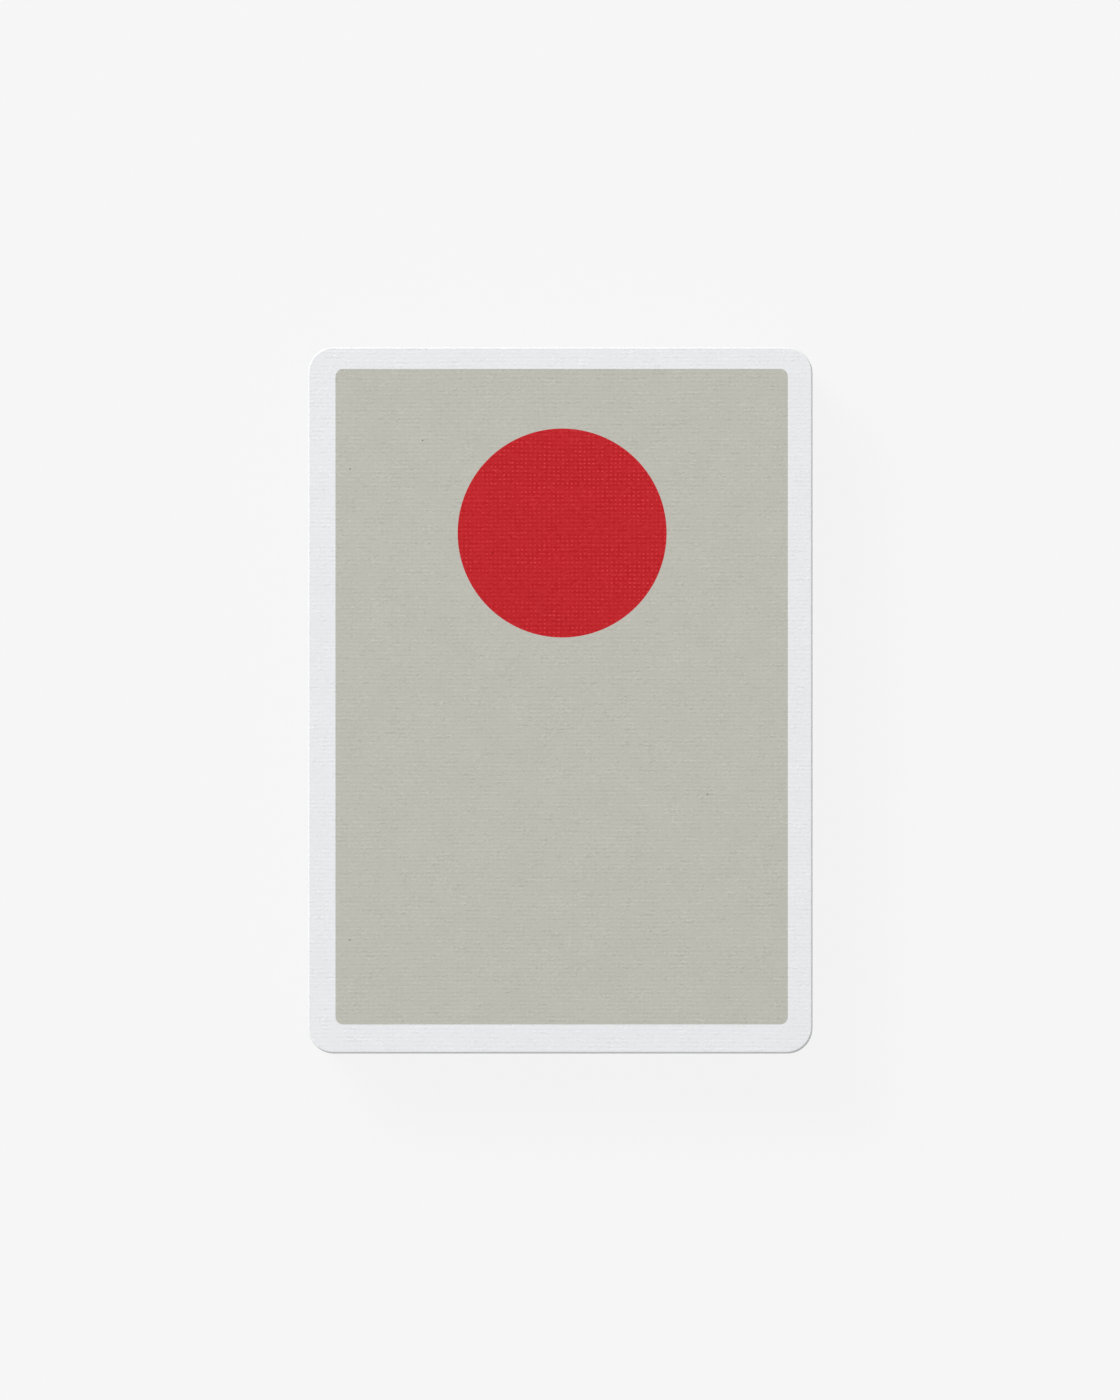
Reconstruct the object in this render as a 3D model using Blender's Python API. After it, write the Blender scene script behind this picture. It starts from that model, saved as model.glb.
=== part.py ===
"""A squared pack of poker-size playing cards, lying face down on its lowest card.

Every card is a thin plate of its own, with rounded corners. The cards share one mesh, and their
parent is an empty on the upright axis that a thumb gives the pack when it is fanned.
Lengths are in metres, +Z is up, and +Y points to the top of the printed backs.
"""

import math
import random

import bmesh
import bpy

# Card blank
CARD_WIDTH = 0.0635
CARD_LENGTH = 0.0889
CARD_THICKNESS = 0.00028
CORNER_RADIUS = 0.003175
CORNER_SEGMENTS = 6
SMOOTH_ANGLE = math.radians(30)

# Cards in the pack
RANKS = (
    "ace", "two", "three", "four", "five", "six", "seven",
    "eight", "nine", "ten", "jack", "queen", "king",
)
RISING_SUITS = ("spades", "diamonds")
FALLING_SUITS = ("clubs", "hearts")
JOKERS = ("joker_black", "joker_red")

# How the cards lie on each other: the embossed finish keeps air between them,
# and a pack squared by hand leaves each card a little off centre
AIR_GAP = 0.00003
SQUARING_SLACK = 0.0001
SQUARING_SEED = 46484

# The thumb's hold on the pack, measured up from the lower short edge
THUMB_REACH = 0.018

# Coated white paper, as linear colour
STOCK_COLOUR = (0.80, 0.815, 0.84, 1.0)
STOCK_ROUGHNESS = 0.55


def clear_scene():
    for item in list(bpy.data.objects):
        bpy.data.objects.remove(item, do_unlink=True)


def card_names():
    """Names from the lowest card up: two suits rise from ace to king and two fall back."""
    names = [f"{rank}_of_{suit}" for suit in RISING_SUITS for rank in RANKS]
    names += [f"{rank}_of_{suit}" for suit in FALLING_SUITS for rank in reversed(RANKS)]
    return names + list(JOKERS)


def card_stock():
    stock = bpy.data.materials.new("linen_card_stock")
    stock.use_nodes = True
    shader = stock.node_tree.nodes["Principled BSDF"]
    shader.inputs["Base Color"].default_value = STOCK_COLOUR
    shader.inputs["Roughness"].default_value = STOCK_ROUGHNESS
    shader.inputs["Metallic"].default_value = 0.0
    stock.diffuse_color = STOCK_COLOUR
    return stock


def card_blank(stock):
    """The plate that every card is cut to, centred in plan, with its face side at z = 0."""
    plate = bmesh.new()
    bmesh.ops.create_grid(plate, x_segments=1, y_segments=1, size=0.5)
    bmesh.ops.scale(plate, vec=(CARD_WIDTH, CARD_LENGTH, 1), verts=plate.verts)
    bmesh.ops.bevel(
        plate,
        geom=plate.verts[:],
        offset=CORNER_RADIUS,
        offset_type="OFFSET",
        affect="VERTICES",
        segments=CORNER_SEGMENTS,
        profile=0.5,
    )
    raised = bmesh.ops.extrude_face_region(plate, geom=plate.faces[:], use_keep_orig=True)
    back = [item for item in raised["geom"] if isinstance(item, bmesh.types.BMVert)]
    bmesh.ops.translate(plate, vec=(0, 0, CARD_THICKNESS), verts=back)
    bmesh.ops.recalc_face_normals(plate, faces=plate.faces)
    mesh = bpy.data.meshes.new("card_blank")
    plate.to_mesh(mesh)
    plate.free()
    mesh.shade_smooth()
    mesh.set_sharp_from_angle(angle=SMOOTH_ANGLE)
    mesh.materials.append(stock)
    return mesh


def squared_places(card_count):
    """How far across and along each card lies off centre, from the uppermost card down."""
    hand = random.Random(SQUARING_SEED)
    places = []
    for _ in range(card_count):
        across = hand.uniform(-SQUARING_SLACK, SQUARING_SLACK)
        along = hand.uniform(-SQUARING_SLACK, SQUARING_SLACK)
        places.append((across, along))
    return places


def thumb_pivot():
    pivot = bpy.data.objects.new("thumb_pivot", None)
    pivot.empty_display_size = CORNER_RADIUS
    pivot.location = (0, THUMB_REACH - CARD_LENGTH / 2, 0)
    bpy.context.scene.collection.objects.link(pivot)
    return pivot


def stack_cards(blank, pivot):
    names = card_names()
    places = squared_places(len(names))
    for level, name in enumerate(names):
        across, along = places[-1 - level]
        card = bpy.data.objects.new(name, blank)
        card.parent = pivot
        card.location = (across, along - pivot.location.y, level * (CARD_THICKNESS + AIR_GAP))
        bpy.context.scene.collection.objects.link(card)
    print(f"{len(names)} cards, {len(blank.polygons)} faces each")


def main():
    clear_scene()
    stack_cards(card_blank(card_stock()), thumb_pivot())


main()
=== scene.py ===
import math
import bmesh
import bpy
from mathutils import Matrix, Vector, noise


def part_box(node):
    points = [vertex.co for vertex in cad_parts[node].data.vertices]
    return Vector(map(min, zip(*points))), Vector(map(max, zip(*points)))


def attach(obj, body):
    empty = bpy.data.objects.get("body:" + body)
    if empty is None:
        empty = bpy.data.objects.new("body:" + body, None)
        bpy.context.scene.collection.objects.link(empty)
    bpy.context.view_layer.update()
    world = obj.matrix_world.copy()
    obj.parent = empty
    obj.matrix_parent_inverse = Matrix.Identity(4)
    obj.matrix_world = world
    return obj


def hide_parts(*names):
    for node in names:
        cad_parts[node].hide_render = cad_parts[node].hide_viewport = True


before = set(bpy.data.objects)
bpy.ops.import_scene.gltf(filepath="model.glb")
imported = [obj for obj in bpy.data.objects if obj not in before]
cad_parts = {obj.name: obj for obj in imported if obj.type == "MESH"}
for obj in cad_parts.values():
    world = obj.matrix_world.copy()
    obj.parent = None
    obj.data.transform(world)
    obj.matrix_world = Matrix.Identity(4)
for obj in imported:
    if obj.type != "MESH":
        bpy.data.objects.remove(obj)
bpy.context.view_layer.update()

mm = 0.001                       # cards are drawn in millimetres and shrunk to metres at the end
waveLength = 2 * math.pi / 20    # length of one Wave Texture band at scale 1
middleValue = 0.5                # waves and noises run around this value


# Node helpers

def startMaterial(name):
    material = bpy.data.materials.new(name)
    material.use_nodes = True
    tree = material.node_tree
    return material, tree, tree.nodes["Principled BSDF"]


def plug(tree, socket, value):
    if isinstance(value, bpy.types.NodeSocket):
        tree.links.new(value, socket)
    else:
        socket.default_value = value


def addNode(tree, kind, settings=None, **inputs):
    node = tree.nodes.new(kind)
    for key, value in (settings or {}).items():
        setattr(node, key, value)
    for key, value in inputs.items():
        plug(tree, node.inputs[key.replace("_", " ")], value)
    return node


def calc(tree, operation, first, second=0.0):
    node = addNode(tree, "ShaderNodeMath", {"operation": operation})
    plug(tree, node.inputs[0], first)
    plug(tree, node.inputs[1], second)
    return node.outputs[0]


def remap(tree, value, fromMin, fromMax, toMin, toMax):
    node = addNode(tree, "ShaderNodeMapRange")
    for socket, entry in zip(node.inputs, (value, fromMin, fromMax, toMin, toMax)):
        plug(tree, socket, entry)
    return node.outputs[0]


def blendColour(tree, mode, factor, first, second):
    node = addNode(tree, "ShaderNodeMix", {"data_type": "RGBA", "blend_type": mode})
    # the node's sockets for a factor and for two colours, and its colour output
    for number, entry in ((0, factor), (6, first), (7, second)):
        plug(tree, node.inputs[number], entry)
    return node.outputs[2]


def stretch(tree, place, scale):
    return addNode(tree, "ShaderNodeMapping", None, Vector=place, Scale=scale).outputs[0]


def cellNoise(tree, place, cell, detail):
    # noise whose clouds measure cell along x, y and z
    fitted = stretch(tree, place, [1 / side for side in cell])
    return addNode(tree, "ShaderNodeTexNoise", None, Vector=fitted, Scale=1.0, Detail=detail).outputs["Fac"]


# Linen emboss, shared by the paper and every ink on it

linen = {
    "pitch": {"X": 0.56 * mm, "Y": 0.52 * mm},    # from spot to spot along a row, and from row to row
    "depth": 0.026 * mm,
    "wander": {"X": 4.5, "Y": 3.2},     # how far columns and rows stray, in radians of their wave
    "wanderScale": 0.22,
    "wanderDetail": 1.0,
    "straight": {"X": (1, 0.35, 1), "Y": (0.35, 1, 1)},    # they stray slower along their own length
    "rowHeight": 0.44,                  # shares of the whole height
    "spotHeight": 0.30,
    "toothHeight": 2.5,
    "spotPeak": 3.0,                    # a spot is narrower than the hollows around it
    "spotLevel": 0.098,                 # mean height of spots with that peak
    "unevenSpan": (0.35, 0.65),         # noise values at which an uneven field is faint and full
    # the paper's own grain, the press's uneven bite in patches and along rows, and ink that fills
    # spots, hiding their bare paper and their painted glint, in wider patches and one by one
    "tooth": {"cell": (0.36 * mm, 0.21 * mm, 5 * mm), "detail": 1.0},
    "patch": {"cell": (1.2 * mm, 1.0 * mm, 5 * mm), "detail": 2.0, "faint": 0.35},
    "streak": {"cell": (2.2 * mm, 0.3 * mm, 5 * mm), "detail": 1.0, "faint": 0.25},
    "mottle": {"cell": (7.0 * mm, 6.0 * mm, 5 * mm), "detail": 2.0, "faint": 0.3},
    "filling": {"cell": (0.75 * mm, 0.6 * mm, 5 * mm), "detail": 0.0, "faint": 0.0},
}


def linenWave(tree, place, direction):
    wave = addNode(
        tree, "ShaderNodeTexWave", {"bands_direction": direction},
        Vector=stretch(tree, place, linen["straight"][direction]),
        Scale=waveLength / linen["pitch"][direction],
        Distortion=linen["wander"][direction],
        Detail=linen["wanderDetail"],
        Detail_Scale=linen["wanderScale"],
    )
    return wave.outputs["Fac"]


def linenCloud(tree, place, name):
    return cellNoise(tree, place, linen[name]["cell"], linen[name]["detail"])


def unevenness(tree, place, name):
    return remap(tree, linenCloud(tree, place, name), *linen["unevenSpan"], linen[name]["faint"], 1.0)


def linenRelief(tree, place):
    # height of the emboss, from about -0.5 to 0.5 around the sheet's own level, and the spots that ink
    # leaves bare, which are lightened partly as bare paper and partly as a painted glint
    columnWave, rowWave = [linenWave(tree, place, direction) for direction in ("X", "Y")]
    rows = calc(tree, "SUBTRACT", rowWave, middleValue)
    crossing = calc(tree, "POWER", calc(tree, "MULTIPLY", columnWave, rowWave), linen["spotPeak"])
    spots = calc(tree, "SUBTRACT", crossing, linen["spotLevel"])
    tooth = calc(tree, "SUBTRACT", linenCloud(tree, place, "tooth"), middleValue)
    weave = calc(tree, "MULTIPLY", rows, linen["rowHeight"])
    weave = calc(tree, "ADD", weave, calc(tree, "MULTIPLY", spots, linen["spotHeight"]))
    weave = calc(tree, "ADD", weave, calc(tree, "MULTIPLY", tooth, linen["toothHeight"]))
    bite = calc(tree, "MULTIPLY", unevenness(tree, place, "patch"), unevenness(tree, place, "streak"))
    # where ink leaves spots bare, and where their painted glint shows
    bareAndGlintPatches = calc(tree, "MULTIPLY", unevenness(tree, place, "mottle"), unevenness(tree, place, "filling"))
    return calc(tree, "MULTIPLY", weave, bite), calc(tree, "MULTIPLY", spots, bareAndGlintPatches)


# Coated paper and inks: colour in the hollows, darker partly as painted shade of the emboss, and on the
# spots, lighter partly as a painted glint, share of the spots' colour on level paper, how far the relief
# and its bare spots change that share, cloudiness and roughness

surfaces = {
    "whiteStock": {
        "gap": (0.736, 0.750, 0.772), "spot": (0.844, 0.857, 0.874),
        "level": 0.5, "relief": 1.0, "dots": 0.0, "cloud": 0.012, "rough": 0.7,
    },
    "greyInk": {
        "gap": (0.445, 0.440, 0.391), "spot": (0.549, 0.544, 0.491),
        "level": 0.5, "relief": 1.0, "dots": 0.12, "cloud": 0.015, "rough": 0.7,
    },
    "redInk": {
        "gap": (0.464, 0.0098, 0.0143), "spot": (0.745, 0.0560, 0.0680),
        "level": 0.14, "relief": 0.52, "dots": 1.1, "cloud": 0.03, "rough": 0.68,
    },
    "blackInk": {
        "gap": (0.0155, 0.0155, 0.0165), "spot": (0.045, 0.045, 0.047),
        "level": 0.14, "relief": 0.52, "dots": 1.1, "cloud": 0.04, "rough": 0.65,
    },
}
coat = {
    "gloss": 0.1,
    "roughSpread": 0.12,
    "cloudCell": (4 * mm,) * 3,    # paper formation and ink film
    "cloudDetail": 4.0,
    "cloudSpan": (0.3, 0.7),       # noise values of the darkest and palest clouds
}
speck = {"spacing": 9 * mm, "radius": 0.10 * mm, "share": 0.05, "dark": 0.45}


def cardDraw(tree, place):
    # random value and colour of each card's own: levels change in mid-gap, so that a bowed card keeps one
    height = addNode(tree, "ShaderNodeSeparateXYZ", None, Vector=place).outputs["Z"]
    raised = calc(tree, "ADD", height, airGap / 2)
    level = calc(tree, "FLOOR", calc(tree, "DIVIDE", raised, cardPitch))
    return addNode(tree, "ShaderNodeTexWhiteNoise", {"noise_dimensions": "1D"}, W=level).outputs


def speckShade(tree, place):
    # a stray fibre speck here and there, elsewhere on each card: 1 on plain stock, less on a speck
    moved = addNode(tree, "ShaderNodeVectorMath", {"operation": "ADD"})
    plug(tree, moved.inputs[0], place)
    plug(tree, moved.inputs[1], cardDraw(tree, place)["Color"])
    cells = addNode(
        tree, "ShaderNodeTexVoronoi", {"voronoi_dimensions": "2D"},
        Vector=moved.outputs[0], Scale=1 / speck["spacing"],
    )
    near = calc(tree, "LESS_THAN", cells.outputs["Distance"], speck["radius"] / speck["spacing"])
    draw = addNode(tree, "ShaderNodeSeparateColor", None, Color=cells.outputs["Color"]).outputs[0]
    fleck = calc(tree, "MULTIPLY", near, calc(tree, "LESS_THAN", draw, speck["share"]))
    return remap(tree, fleck, 0.0, 1.0, 1.0, speck["dark"])


def coatedSurface(name):
    look = surfaces[name]
    material, tree, shader = startMaterial(name)
    place = addNode(tree, "ShaderNodeTexCoord").outputs["Object"]
    relief, bareSpotsAndGlints = linenRelief(tree, place)
    lifted = calc(tree, "ADD", relief, middleValue)
    # the spots' share follows the relief: partly ink and coating pooled in the hollows, partly painted
    # shade in the hollows and painted light on the emboss's ridges
    inkAndPaintedLight = calc(tree, "ADD", calc(tree, "MULTIPLY", relief, look["relief"]), look["level"])
    # bare spots raise the share again: partly bare paper, partly a painted glint on the emboss's spots
    inkAndPaintedLight = calc(tree, "ADD", inkAndPaintedLight, calc(tree, "MULTIPLY", bareSpotsAndGlints, look["dots"]))
    colour = blendColour(tree, "MIX", inkAndPaintedLight, (*look["gap"], 1), (*look["spot"], 1))
    cloud = cellNoise(tree, place, coat["cloudCell"], coat["cloudDetail"])
    shade = remap(tree, cloud, *coat["cloudSpan"], 1 - look["cloud"], 1 + look["cloud"])
    shade = calc(tree, "MULTIPLY", shade, speckShade(tree, place))
    plug(tree, shader.inputs["Base Color"], blendColour(tree, "MULTIPLY", 1.0, colour, shade))
    half = coat["roughSpread"] / 2
    roughness = remap(tree, lifted, 0.0, 1.0, look["rough"] + half, look["rough"] - half)
    plug(tree, shader.inputs["Roughness"], roughness)
    shader.inputs["Specular IOR Level"].default_value = coat["gloss"]
    bump = addNode(tree, "ShaderNodeBump", None, Distance=linen["depth"], Height=lifted)
    plug(tree, shader.inputs["Normal"], bump.outputs["Normal"])
    return material


# Cut edges: the coating where the die rolled the rim over, paler than the flat stock as a painted
# highlight, bare fibres below it, and the thin glue line in the middle, with each card's own tint

cutLooks = {
    # the rolled rim is paler than the coated stock: a painted highlight along every card's rims
    "rolledRimPaintedHighlight": {"pale": (0.88, 0.885, 0.89), "dark": (0.82, 0.825, 0.83), "rough": 0.75, "gloss": 0.2},
    "cutEdge": {"pale": (0.76, 0.755, 0.735), "dark": (0.63, 0.625, 0.605), "rough": 0.88, "gloss": 0.15},
    "glueLine": {"pale": (0.60, 0.60, 0.60), "dark": (0.46, 0.46, 0.465), "rough": 0.88, "gloss": 0.15},
}
fibre = {
    "cell": (1.6 * mm, 1.6 * mm, 0.09 * mm),
    "detail": 3.0,
    "depth": 0.007 * mm,
    "roughSpan": (0.3, 0.7),  # noise values of the smoothest and roughest fibres
    "roughSpread": 0.14,
    "ownTint": 0.55,          # the card's own share of the colour, beside that of its fibres
    "tintSpan": (0.25, 0.75),  # values of the palest and darkest paper
}


def cutSurface(name):
    look = cutLooks[name]
    material, tree, shader = startMaterial(name)
    place = addNode(tree, "ShaderNodeTexCoord").outputs["Object"]
    fibres = cellNoise(tree, place, fibre["cell"], fibre["detail"])
    ownTint = calc(tree, "MULTIPLY", cardDraw(tree, place)["Value"], fibre["ownTint"])
    tint = calc(tree, "ADD", calc(tree, "MULTIPLY", fibres, 1 - fibre["ownTint"]), ownTint)
    factor = remap(tree, tint, *fibre["tintSpan"], 0.0, 1.0)
    colour = blendColour(tree, "MIX", factor, (*look["pale"], 1), (*look["dark"], 1))
    plug(tree, shader.inputs["Base Color"], colour)
    half = fibre["roughSpread"] / 2
    roughness = remap(tree, fibres, *fibre["roughSpan"], look["rough"] - half, look["rough"] + half)
    plug(tree, shader.inputs["Roughness"], roughness)
    shader.inputs["Specular IOR Level"].default_value = look["gloss"]
    bump = addNode(tree, "ShaderNodeBump", None, Distance=fibre["depth"], Height=fibres)
    plug(tree, shader.inputs["Normal"], bump.outputs["Normal"])
    return material


cardOrder = sorted(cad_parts, key=lambda node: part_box(node)[0].z)    # lowest card first
lowCard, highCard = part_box(cardOrder[0]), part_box(cardOrder[-1])
cardSize = (highCard[1] - highCard[0]) / mm
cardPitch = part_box(cardOrder[1])[0].z - lowCard[0].z
airGap = cardPitch - cardSize.z * mm
finishes = [coatedSurface(name) for name in surfaces] + [cutSurface(name) for name in cutLooks]
paper, grey, red, black, paintedHighlightRim, cutPaper, glue = range(len(finishes))
print(f"{len(finishes)} finishes made for {len(cardOrder)} cards")


# Outlines of the printed figures, about one unit high. An entry is a point with its curve handles.

drawing = {
    "roundPull": 0.5523,    # handle length, for each unit of radius, that makes four curves round
    "curveSteps": 8,
}


def corner(x, y):
    return (x, y), (x, y), (x, y)


def bend(before, at, after):
    return before, at, after


def mirrorEntry(entry):
    before, at, after = [(-x, y) for x, y in entry]
    return after, at, before


def mirroredLoop(*half):
    # the right half, from the top of the middle line to its foot, closed by its mirror image
    left = [mirrorEntry(entry) for entry in reversed(half)]
    top = (left[-1][0], *half[0][1:])
    foot = (*half[-1][:2], left[0][2])
    return [top, *half[1:-1], foot, *left[1:-1]]


def oblong(width, height, middle=0.0):
    right, up, down = width / 2, middle + height / 2, middle - height / 2
    return mirroredLoop(corner(0, up), corner(right, up), corner(right, down), corner(0, down))


def ball(x, y, radius):
    pull = radius * drawing["roundPull"]
    return [
        bend((x - pull, y + radius), (x, y + radius), (x + pull, y + radius)),
        bend((x + radius, y + pull), (x + radius, y), (x + radius, y - pull)),
        bend((x + pull, y - radius), (x, y - radius), (x - pull, y - radius)),
        bend((x - radius, y - pull), (x - radius, y), (x - radius, y + pull)),
    ]


def balls(x, y, radius):
    return [ball(-x, y, radius), ball(x, y, radius)]


def star(points, waist):
    spikes = []
    for step in range(2 * points):
        reach = (waist if step % 2 else 1) / 2
        turn = math.pi * step / points
        spikes.append(corner(reach * math.sin(turn), reach * math.cos(turn)))
    return spikes


def flatMesh(curve):
    holder = bpy.data.objects.new(curve.name, curve)
    bpy.context.scene.collection.objects.link(holder)
    view = bpy.context.evaluated_depsgraph_get()
    mesh = bpy.data.meshes.new_from_object(holder.evaluated_get(view))
    bpy.data.objects.remove(holder)
    return mesh


def fillBetween(bm, loops, finish):
    made = bmesh.ops.triangle_fill(bm, edges=loops, use_beauty=True, normal=(0, 0, 1))
    for item in made["geom"]:
        if isinstance(item, bmesh.types.BMFace):
            item.material_index = finish


def figure(name, *loops):
    # a loop inside another one is left blank
    curve = bpy.data.curves.new(name, "CURVE")
    curve.dimensions = "2D"
    curve.fill_mode = "BOTH"
    curve.resolution_u = drawing["curveSteps"]
    for loop in loops:
        spline = curve.splines.new("BEZIER")
        spline.bezier_points.add(len(loop) - 1)
        spline.use_cyclic_u = True
        for point, (before, at, after) in zip(spline.bezier_points, loop):
            point.handle_left_type = point.handle_right_type = "FREE"
            point.co = (*at, 0)
            point.handle_left = (*before, 0)
            point.handle_right = (*after, 0)
    return flatMesh(curve)


pips = {
    "hearts": figure("heart", mirroredLoop(
        bend((0, 0.27), (0, 0.27), (0.02, 0.42)),
        bend((0.11, 0.50), (0.245, 0.50), (0.38, 0.50)),
        bend((0.47, 0.38), (0.47, 0.235), (0.47, 0.03)),
        bend((0.10, -0.29), (0, -0.50), (0, -0.50)),
    )),
    "spades": figure("spade", mirroredLoop(
        bend((0, 0.50), (0, 0.50), (0.10, 0.29)),
        bend((0.46, 0.05), (0.46, -0.13), (0.46, -0.27)),
        bend((0.38, -0.36), (0.25, -0.36), (0.14, -0.36)),
        bend((0.07, -0.30), (0.045, -0.22), (0.05, -0.36)),
        bend((0.09, -0.46), (0.18, -0.50), (0.12, -0.48)),
        bend((0.06, -0.475), (0, -0.475), (0, -0.475)),
    )),
    "diamonds": figure("diamond", mirroredLoop(
        bend((0, 0.50), (0, 0.50), (0.10, 0.32)),
        bend((0.25, 0.12), (0.37, 0), (0.25, -0.12)),
        bend((0.10, -0.32), (0, -0.50), (0, -0.50)),
    )),
    "clubs": figure("club", mirroredLoop(
        bend((0, 0.50), (0, 0.50), (0.124, 0.50)),
        bend((0.225, 0.40), (0.225, 0.275), (0.225, 0.19)),
        bend((0.165, 0.135), (0.125, 0.085), (0.175, 0.12)),
        bend((0.20, 0.14), (0.262, 0.14), (0.385, 0.14)),
        bend((0.485, 0.04), (0.485, -0.085), (0.485, -0.21)),
        bend((0.385, -0.31), (0.262, -0.31), (0.15, -0.31)),
        bend((0.09, -0.27), (0.05, -0.19), (0.055, -0.35)),
        bend((0.09, -0.46), (0.18, -0.50), (0.12, -0.48)),
        bend((0.06, -0.475), (0, -0.475), (0, -0.475)),
    )),
}
emblems = {
    "king": figure(    # five-pointed crown on a jewelled band
        "crown",
        mirroredLoop(
            corner(0, 0.36), corner(0.13, 0.02), corner(0.27, 0.28), corner(0.33, -0.02),
            corner(0.50, 0.22), corner(0.40, -0.24), corner(0, -0.24),
        ),
        oblong(0.80, 0.13, -0.355), ball(0, -0.355, 0.034), *balls(0.2, -0.355, 0.028),
        ball(0, 0.43, 0.045), *balls(0.28, 0.345, 0.04), *balls(0.525, 0.28, 0.04),
    ),
    "queen": figure(    # coronet with three curved peaks and pearls
        "coronet",
        mirroredLoop(
            bend((0, 0.36), (0, 0.36), (0.03, 0.16)),
            bend((0.10, 0.0), (0.20, 0.0), (0.30, 0.0)),
            bend((0.42, 0.12), (0.47, 0.28), (0.46, 0.08)),
            bend((0.43, -0.08), (0.39, -0.22), (0.39, -0.22)),
            bend((0.20, -0.28), (0, -0.28), (0, -0.28)),
        ),
        mirroredLoop(
            bend((0, -0.34), (0, -0.34), (0.20, -0.34)), corner(0.385, -0.28), corner(0.37, -0.38),
            bend((0.20, -0.44), (0, -0.44), (0, -0.44)),
        ),
        ball(0, 0.43, 0.05), *balls(0.485, 0.345, 0.045), *balls(0.2, 0.07, 0.036),
        ball(0, -0.10, 0.05), *balls(0.24, -0.12, 0.036),
    ),
    "jack": figure(    # shield with a chevron and three roundels
        "shield",
        mirroredLoop(
            bend((0, 0.38), (0, 0.38), (0.15, 0.38)),
            bend((0.30, 0.41), (0.40, 0.47), (0.40, 0.47)),
            bend((0.42, 0.14), (0.39, 0.0), (0.34, -0.22)),
            bend((0.15, -0.40), (0, -0.50), (0, -0.50)),
        ),
        mirroredLoop(corner(0, 0.15), corner(0.31, -0.07), corner(0.265, -0.20), corner(0, -0.01)),
        *balls(0.2, 0.23, 0.06), ball(0, -0.26, 0.06),
    ),
    "joker": figure(    # fool's cap with three bells
        "cap",
        mirroredLoop(
            bend((0, 0.38), (0, 0.38), (0.08, 0.30)),
            bend((0.14, 0.14), (0.13, 0.0), (0.15, 0.12)),
            bend((0.20, 0.24), (0.30, 0.22), (0.42, 0.20)),
            bend((0.50, 0.04), (0.51, -0.10), (0.46, -0.02)),
            bend((0.38, -0.06), (0.32, -0.10), (0.28, -0.13)),
            bend((0.27, -0.22), (0.26, -0.28), (0.26, -0.28)),
            bend((0.10, -0.31), (0, -0.31), (0, -0.31)),
        ),
        mirroredLoop(
            bend((0, -0.36), (0, -0.36), (0.10, -0.36)), corner(0.26, -0.33), corner(0.26, -0.42),
            bend((0.10, -0.45), (0, -0.45), (0, -0.45)),
        ),
        ball(0, 0.445, 0.05), *balls(0.515, -0.165, 0.05),
    ),
}
suitInk = {"spades": black, "clubs": black, "hearts": red, "diamonds": red}
rankSign = {"ace": "A", "jack": "J", "queen": "Q", "king": "K"}
numberWords = ("two", "three", "four", "five", "six", "seven", "eight", "nine", "ten")
rankNumber = {"ace": 1, **{word: number for number, word in enumerate(numberWords, 2)}}
rankSign.update({word: str(rankNumber[word]) for word in numberWords})
index = {    # for signs one unit high
    "stroke": 0.155,
    "spacing": 0.95,
    "curveSteps": 6,
    "mergeDistance": 0.009,
}


def standUpright(bm):
    # one unit high, on its lowest point
    heights = [vert.co.y for vert in bm.verts]
    size = 1 / (max(heights) - min(heights))
    bmesh.ops.translate(bm, vec=(0, -min(heights), 0), verts=bm.verts)
    bmesh.ops.scale(bm, vec=(size, size, 1), verts=bm.verts)


def indexSign(rank):
    letters = bpy.data.curves.new(rank, "FONT")
    letters.body = rankSign[rank]
    letters.align_x = "CENTER"
    letters.space_character = index["spacing"]
    letters.resolution_u = index["curveSteps"]
    mesh = flatMesh(letters)
    bm = bmesh.new()
    bm.from_mesh(mesh)
    standUpright(bm)
    bmesh.ops.remove_doubles(bm, verts=bm.verts, dist=index["mergeDistance"])
    # the outline grows by a negative inset until its strokes are wide enough, and is filled again
    area = sum(part.calc_area() for part in bm.faces)
    around = sum(line.calc_length() for line in bm.edges if line.is_boundary)
    growth = index["stroke"] / 2 - area / around
    folded = bmesh.ops.inset_region(
        bm, faces=bm.faces[:], thickness=-growth, use_boundary=True, use_even_offset=True,
    )
    bmesh.ops.delete(bm, geom=folded["faces"], context="FACES")
    outline = [line for line in bm.edges if line.is_boundary]
    inner = [line for line in bm.edges if not line.is_boundary]
    bmesh.ops.delete(bm, geom=inner, context="EDGES")
    fillBetween(bm, outline, 0)
    standUpright(bm)
    bm.to_mesh(mesh)
    bm.free()
    return mesh


signs = {rank: indexSign(rank) for rank in rankSign}
print(f"{len(pips)} pips, {len(emblems)} emblems and {len(signs)} index signs drawn")


# Plain plate that every card starts from, with its printed back, in millimetres

card = {
    "cornerRadius": 3.175,
    "cornerSteps": 12,
    "sideCuts": 10,         # points along each straight side, so that a card can bow
    "straightSide": 10.0,   # sides longer than this are straight ones
    "backRim": 0.12,        # the die rolls the back's rim over, and breaks the face's rim a little
    "backReach": 0.05,      # the back's rim runs this much further in than down
    "faceRim": 0.035,
    "rimSteps": 1,
    "glueLine": 0.03,
    "snap": 0.001,          # points nearer to a cut than this join it
    "bow": 0.010 * mm,      # how far a card in the middle of the pack strays from flat
    "bowSpan": 38 * mm,
    "bowStep": 3.7,         # how far apart in the noise two neighbours are
}
back = {
    "panelWidth": 57.0,
    "panelLength": 82.6,
    "panelCorner": 0.95,
    "panelSteps": 8,
    "panelOffset": (0.21, 0.42),    # the print sits a little off the cut card
    "discRadius": 13.17,
    "discCentre": (0.27, 21.04),
    "discSteps": 128,
}


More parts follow.
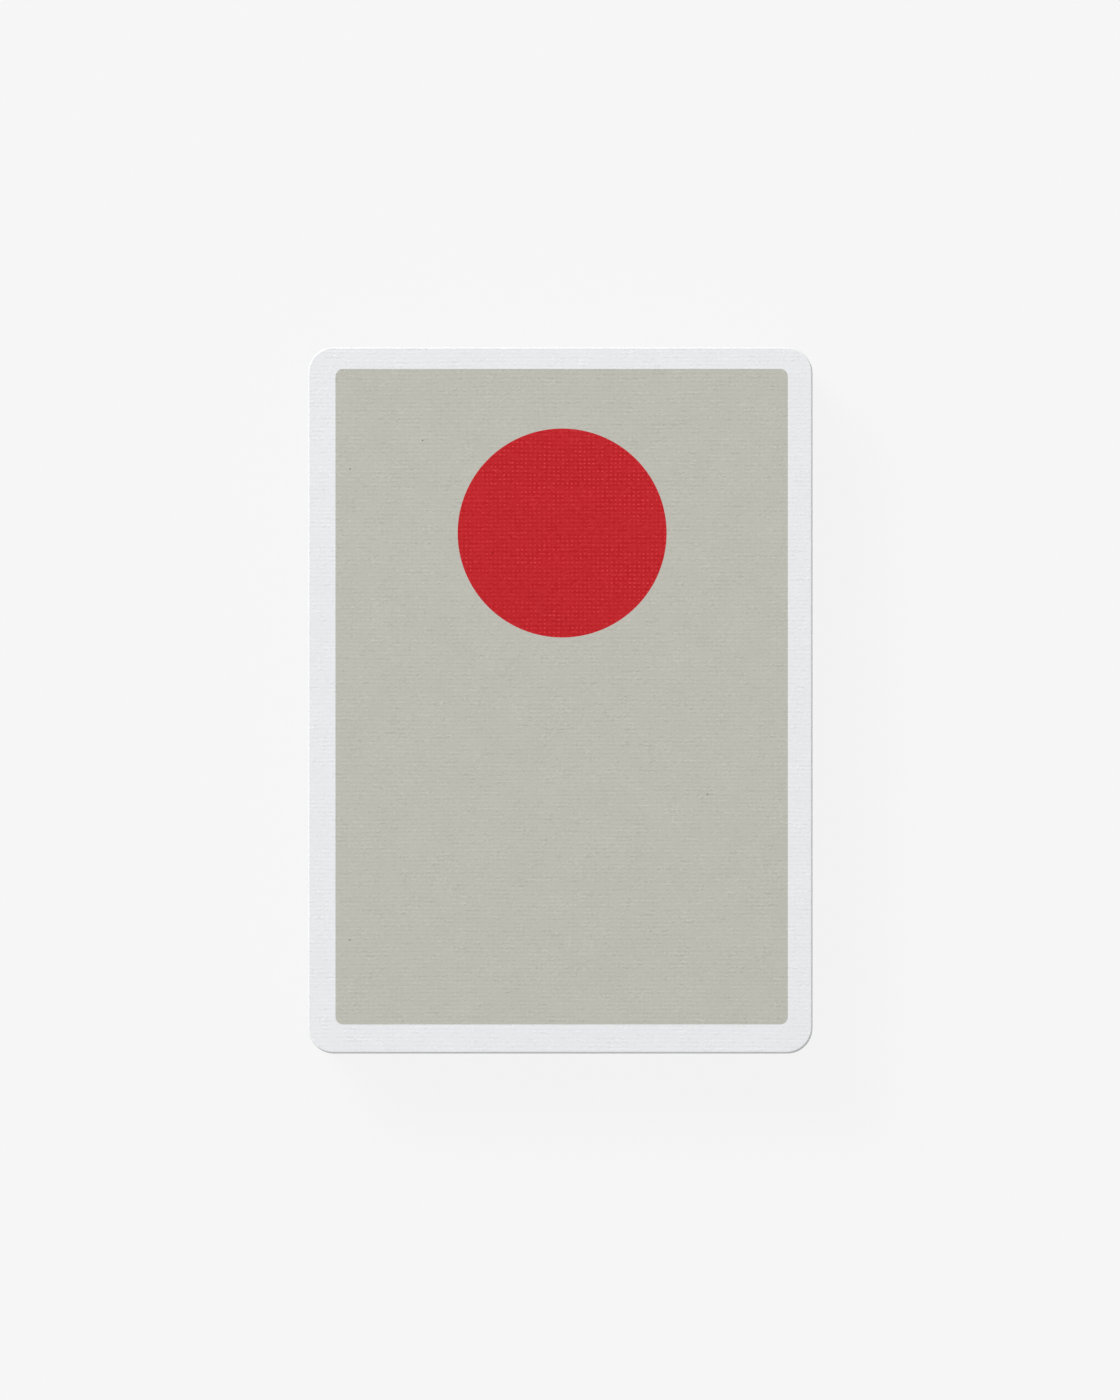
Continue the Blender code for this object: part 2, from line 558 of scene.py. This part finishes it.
def roundedSheet(bm, width, length, radius, steps, centre=(0, 0), level=0.0):
    made = bmesh.ops.create_grid(bm, x_segments=1, y_segments=1, size=0.5)
    bmesh.ops.scale(bm, vec=(width, length, 1), verts=made["verts"])
    bmesh.ops.translate(bm, vec=(*centre, level), verts=made["verts"])
    rounded = bmesh.ops.bevel(
        bm, geom=made["verts"], offset=radius, offset_type="OFFSET", affect="VERTICES",
        segments=steps, profile=0.5, material=-1,
    )
    return rounded["verts"][0].link_faces[0]


def printBack(bm, rim, level):
    panel = roundedSheet(
        bm, back["panelWidth"], back["panelLength"], back["panelCorner"], back["panelSteps"],
        back["panelOffset"], level,
    )
    panelLoop = list(panel.edges)
    bmesh.ops.delete(bm, geom=[panel], context="FACES_ONLY")
    made = bmesh.ops.create_circle(
        bm, cap_ends=True, radius=back["discRadius"], segments=back["discSteps"],
        matrix=Matrix.Translation((*back["discCentre"], level)),
    )
    disc = made["verts"][0].link_faces[0]
    disc.material_index = red
    fillBetween(bm, panelLoop + list(disc.edges), grey)
    fillBetween(bm, rim + panelLoop, paper)


def cap(bm, side):
    return max(bm.faces, key=lambda part: part.normal.z * side * part.calc_area())


def plainCard():
    width, length, thick = cardSize
    ply = (thick - card["glueLine"]) / 2
    bm = bmesh.new()
    roundedSheet(bm, width, length, card["cornerRadius"], card["cornerSteps"])
    straights = [line for line in bm.edges if line.calc_length() > card["straightSide"]]
    bmesh.ops.subdivide_edges(bm, edges=straights, cuts=card["sideCuts"])
    grown = bmesh.ops.extrude_face_region(bm, geom=bm.faces[:], use_keep_orig=True)["geom"]
    lifted = [item for item in grown if isinstance(item, bmesh.types.BMVert)]
    bmesh.ops.translate(bm, vec=(0, 0, thick), verts=lifted)
    bmesh.ops.recalc_face_normals(bm, faces=bm.faces)
    for level in (ply, thick - ply):    # the two papers meet at a thin line of glue
        bmesh.ops.bisect_plane(
            bm, geom=bm.verts[:] + bm.edges[:] + bm.faces[:], dist=card["snap"],
            plane_co=(0, 0, level), plane_no=(0, 0, 1),
        )
    for part in bm.faces:
        glued = abs(part.calc_center_median().z - thick / 2) < card["glueLine"] / 2
        part.material_index = glue if glued else cutPaper
        part.smooth = True
    for side, ease in ((1, card["backRim"]), (-1, card["faceRim"])):
        eased = bmesh.ops.bevel(
            bm, geom=cap(bm, side).edges[:], offset=ease, offset_type="OFFSET", affect="EDGES",
            segments=card["rimSteps"], profile=0.5, material=-1,
        )
        # the rims get the paler finish that paints a highlight on them
        for part in eased["faces"]:
            part.material_index = paintedHighlightRim
            part.smooth = True
    backCap, faceCap = cap(bm, 1), cap(bm, -1)
    drawnIn = [1 - 2 * card["backReach"] / side for side in (width, length)]
    bmesh.ops.scale(bm, vec=(*drawnIn, 1), verts=backCap.verts)
    rim = list(backCap.edges)
    bmesh.ops.delete(bm, geom=[backCap, faceCap], context="FACES_ONLY")
    printBack(bm, rim, thick)
    mesh = bpy.data.meshes.new("plainCard")
    bm.to_mesh(mesh)
    bm.free()
    return mesh


# Face prints, drawn as seen from the face: u to the right, v up

face = {
    "signHeight": 8.2,
    "signWidth": 0.88,       # the signs are drawn in a little
    "signPlace": (-26.3, 33.2),
    "indexPip": 6.2,
    "indexPipPlace": (-26.3, 27.6),
    "pip": 12.5,
    "pipColumn": 12.0,
    "pipRow": 28.5,
    "acePip": 20.0,
    "highAcePip": 40.0,
}
court = {
    "frame": (40.0, 70.0),
    "line": 0.4,
    "divider": 30.0,
    "emblem": 24.0,
    "emblemPlace": (0.0, 14.5),
    "pip": 8.0,
    "pipPlace": (-14.0, 28.5),
}
joker = {
    "star": 6.5,
    "starPoints": 5,
    "starWaist": 0.4,       # inner radius as a share of the outer one
    "starPlace": (-26.0, 36.5),
    "emblem": 34.0,
}
insideFrame = [side - 2 * court["line"] for side in court["frame"]]
courtFrame = figure("frame", oblong(*court["frame"]), oblong(*insideFrame))
courtDivider = figure("divider", oblong(court["divider"], court["line"]))
cornerStar = figure("star", star(joker["starPoints"], joker["starWaist"]))


def numberPips(number):
    column, row = face["pipColumn"], face["pipRow"]
    middle = {
        1: [0], 2: [row, -row], 3: [row, 0, -row], 5: [0], 7: [row / 2], 8: [row / 2, -row / 2],
        9: [0], 10: [row * 2 / 3, -row * 2 / 3],
    }
    sidePips = {4: 2, 5: 2, 6: 3, 7: 3, 8: 3, 9: 4, 10: 4}.get(number, 0)
    places = [(0, v) for v in middle.get(number, [])]
    for step in range(sidePips):
        v = row - 2 * row * step / (sidePips - 1)
        places += [(-column, v), (column, v)]
    return places


def stamp(bm, shape, ink, place, size, turned=False, narrow=1.0):
    known = len(bm.verts)
    bm.from_mesh(shape)
    bm.verts.ensure_lookup_table()
    added = bm.verts[known:]
    turn = Matrix.Rotation(math.pi if turned else 0, 4, "Z")
    grow = Matrix.Diagonal((size * narrow, size, 1, 1))
    facing = Matrix.Diagonal((-1, 1, 1, 1))    # the face looks down, so left and right change places
    bmesh.ops.transform(bm, matrix=facing @ Matrix.Translation((*place, 0)) @ turn @ grow, verts=added)
    for vert in added:
        for part in vert.link_faces:
            part.material_index = ink


def stampBothEnds(bm, shape, ink, place, size, narrow=1.0):
    u, v = place
    stamp(bm, shape, ink, (u, v), size, False, narrow)
    stamp(bm, shape, ink, (-u, -v), size, True, narrow)


def printJoker(bm, ink):
    stampBothEnds(bm, cornerStar, ink, joker["starPlace"], joker["star"])
    stamp(bm, emblems["joker"], ink, (0, 0), joker["emblem"])


def printCourt(bm, rank, suit, ink):
    stamp(bm, courtFrame, ink, (0, 0), 1)
    stamp(bm, courtDivider, ink, (0, 0), 1)
    stampBothEnds(bm, emblems[rank], ink, court["emblemPlace"], court["emblem"])
    stampBothEnds(bm, pips[suit], ink, court["pipPlace"], court["pip"])


def printFace(bm, rank, suit):
    ink = suitInk[suit]
    stampBothEnds(bm, signs[rank], ink, face["signPlace"], face["signHeight"], face["signWidth"])
    stampBothEnds(bm, pips[suit], ink, face["indexPipPlace"], face["indexPip"])
    if rank in emblems:
        printCourt(bm, rank, suit, ink)
        return
    size = face["pip"]
    if rank == "ace":
        size = face["highAcePip"] if suit == "spades" else face["acePip"]
    for place in numberPips(rankNumber[rank]):
        stamp(bm, pips[suit], ink, place, size, place[1] < 0)


def bowCard(bm, level):
    # the lowest and the uppermost card stay flat
    height = card["bow"] * math.sin(math.pi * level / (len(cardOrder) - 1))
    span = card["bowSpan"]
    for vert in bm.verts:
        place = (vert.co.x / span, vert.co.y / span, level * card["bowStep"])
        vert.co.z += height * noise.noise(place)


def finishCard(node, level):
    bm = bmesh.new()
    bm.from_mesh(plain)
    if "_of_" in node:
        printFace(bm, *node.split("_of_"))
    else:
        printJoker(bm, red if node.endswith("red") else black)
    fillBetween(bm, [line for line in bm.edges if line.is_boundary], paper)
    bmesh.ops.recalc_face_normals(bm, faces=bm.faces)
    openEdges = sum(len(line.link_faces) != 2 for line in bm.edges)
    bmesh.ops.scale(bm, vec=(mm, mm, mm), verts=bm.verts)
    bowCard(bm, level)
    low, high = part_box(node)
    bmesh.ops.translate(bm, vec=((low.x + high.x) / 2, (low.y + high.y) / 2, low.z), verts=bm.verts)
    mesh = bpy.data.meshes.new("printed_" + node)
    bm.to_mesh(mesh)
    bm.free()
    for finish in finishes:
        mesh.materials.append(finish)
    piece = bpy.data.objects.new("printed_" + node, mesh)
    bpy.context.scene.collection.objects.link(piece)
    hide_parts(node)
    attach(piece, node)
    return len(mesh.polygons), openEdges


plain = plainCard()
print(f"plain card has {len(plain.polygons)} faces")
counts = [finishCard(node, level) for level, node in enumerate(cardOrder)]
faceTotal, openTotal = [sum(column) for column in zip(*counts)]
print(f"{len(counts)} cards printed, {faceTotal} faces, {openTotal} open edges")


# Floor, light and camera

studio = {
    "floorSize": 8.0,
    "floorDrop": 0.05 * mm,
    "background": 0.922,       # level that the floor and the world show the camera
    "floorColour": 0.92,
    "floorRough": 0.9,
    "shadowShare": 0.05,       # how much of the cards' shadow the floor shows
    "sky": 0.43,
    "keyPower": 160.0,
    "keySize": 1.8,
    "keyPlace": (-1.92, 2.28, 3.31),
}
lens = {"focal": 200.0, "sensor": 36.0, "frameHeight": 176.4 * mm}


def seenDirectly(tree):
    path = addNode(tree, "ShaderNodeLightPath").outputs
    seen = calc(tree, "MAXIMUM", path["Is Camera Ray"], path["Is Glossy Ray"])
    return calc(tree, "MAXIMUM", seen, path["Is Transmission Ray"])


def layFloor():
    bm = bmesh.new()
    bmesh.ops.create_grid(bm, x_segments=1, y_segments=1, size=studio["floorSize"] / 2)
    bmesh.ops.translate(bm, vec=(0, 0, -studio["floorDrop"]), verts=bm.verts)
    mesh = bpy.data.meshes.new("floor")
    bm.to_mesh(mesh)
    bm.free()
    material, tree, shader = startMaterial("paleFloor")
    shader.inputs["Base Color"].default_value = (studio["floorColour"],) * 3 + (1,)
    shader.inputs["Roughness"].default_value = studio["floorRough"]
    shader.inputs["Specular IOR Level"].default_value = 0.0
    glow = addNode(tree, "ShaderNodeEmission", None, Color=(studio["background"],) * 3 + (1,))
    mixed = addNode(tree, "ShaderNodeMixShader")
    plug(tree, mixed.inputs[0], calc(tree, "MULTIPLY", seenDirectly(tree), 1 - studio["shadowShare"]))
    plug(tree, mixed.inputs[1], shader.outputs[0])
    plug(tree, mixed.inputs[2], glow.outputs[0])
    plug(tree, tree.nodes["Material Output"].inputs["Surface"], mixed.outputs[0])
    mesh.materials.append(material)
    floor = bpy.data.objects.new("floor", mesh)
    bpy.context.scene.collection.objects.link(floor)


def lightStudio():
    world = bpy.data.worlds.new("studio")
    bpy.context.scene.world = world
    world.use_nodes = True
    tree = world.node_tree
    sky = tree.nodes["Background"]
    sky.inputs["Color"].default_value = (1, 1, 1, 1)
    strength = remap(tree, seenDirectly(tree), 0.0, 1.0, studio["sky"], studio["background"])
    plug(tree, sky.inputs["Strength"], strength)
    key = bpy.data.lights.new("key", "AREA")
    key.energy = studio["keyPower"]
    key.size = studio["keySize"]
    lamp = bpy.data.objects.new("key", key)
    lamp.location = studio["keyPlace"]
    lamp.rotation_euler = (-Vector(studio["keyPlace"])).to_track_quat("-Z", "Y").to_euler()
    bpy.context.scene.collection.objects.link(lamp)


def setCamera():
    data = bpy.data.cameras.new("overhead")
    data.lens = lens["focal"]
    data.sensor_width = lens["sensor"]
    camera = bpy.data.objects.new("overhead", data)
    middle = (highCard[0] + highCard[1]) / 2
    distance = lens["frameHeight"] * lens["focal"] / lens["sensor"]
    camera.location = (middle.x, middle.y, highCard[1].z + distance)
    bpy.context.scene.collection.objects.link(camera)
    bpy.context.scene.camera = camera


layFloor()
lightStudio()
setCamera()
bpy.context.scene.view_settings.view_transform = "Standard"
print("floor, light and camera set")
